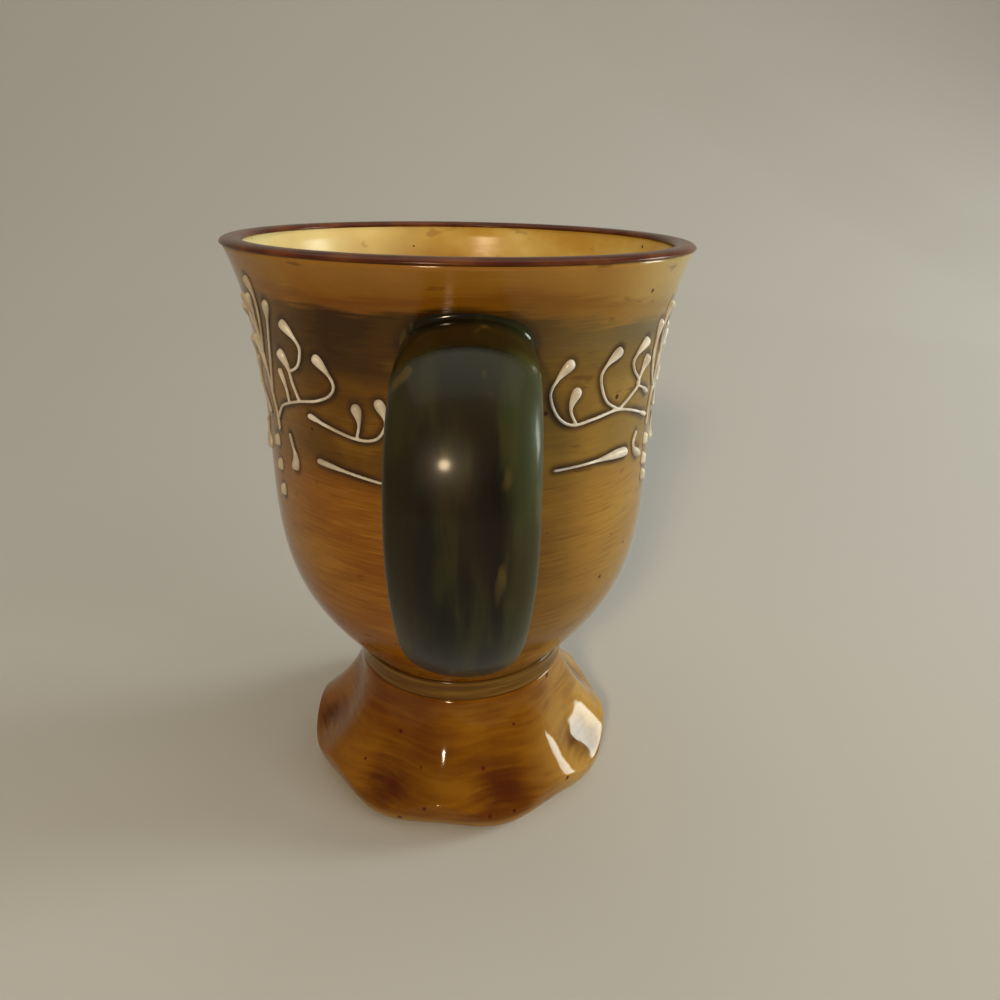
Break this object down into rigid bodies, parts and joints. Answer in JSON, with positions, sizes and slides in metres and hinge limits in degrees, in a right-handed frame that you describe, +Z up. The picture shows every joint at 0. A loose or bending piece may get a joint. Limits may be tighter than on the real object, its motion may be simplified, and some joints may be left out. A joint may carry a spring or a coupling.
{
  "type": "footed mug",
  "caption": "Glazed pottery drinking mug: a flared bowl on a collared, eight-sided hollow foot, with a strap handle and raised slip-trailed tendrils.",
  "frame": {"origin": "on the surface that the foot stands on, under the middle of the mug's whole width with its handle", "axes": "+Z up along the bowl's axis, -Y out through the handle, +X to the right seen from the handle"},
  "size_m": [0.0962, 0.1234, 0.1284],
  "materials": {
    "amber_glaze": "gloss, brushed amber streaks and specks",
    "brown_slip": "gloss, dark red-brown",
    "olive_glaze": "gloss, olive brown",
    "dark_glaze": "high gloss, green-black",
    "cream_slip": "semi-gloss, cream white"
  },
  "bodies": {
    "root": {"bowl": "amber_glaze", "lip_band": "brown_slip", "waist_collar": "olive_glaze", "foot": "amber_glaze", "handle": "dark_glaze", "handle_upper_lute": "dark_glaze", "handle_lower_lute": "dark_glaze", "right_tendril_near": "cream_slip", "right_dash_near": "cream_slip", "right_hook_near": "cream_slip", "right_tendril_far": "cream_slip", "right_dash_far": "cream_slip", "right_hook_far": "cream_slip", "right_stem": "cream_slip", "right_drop_1": "cream_slip", "right_drop_2": "cream_slip", "right_drop_3": "cream_slip", "left_tendril_near": "cream_slip", "left_curl_near": "cream_slip", "left_dash_near": "cream_slip", "left_hook_near": "cream_slip", "left_tendril_far": "cream_slip", "left_curl_far": "cream_slip", "left_dash_far": "cream_slip", "left_hook_far": "cream_slip", "left_stem": "cream_slip", "left_drop_1": "cream_slip", "left_drop_2": "cream_slip", "left_drop_3": "cream_slip"}
  },
  "joints": []
}
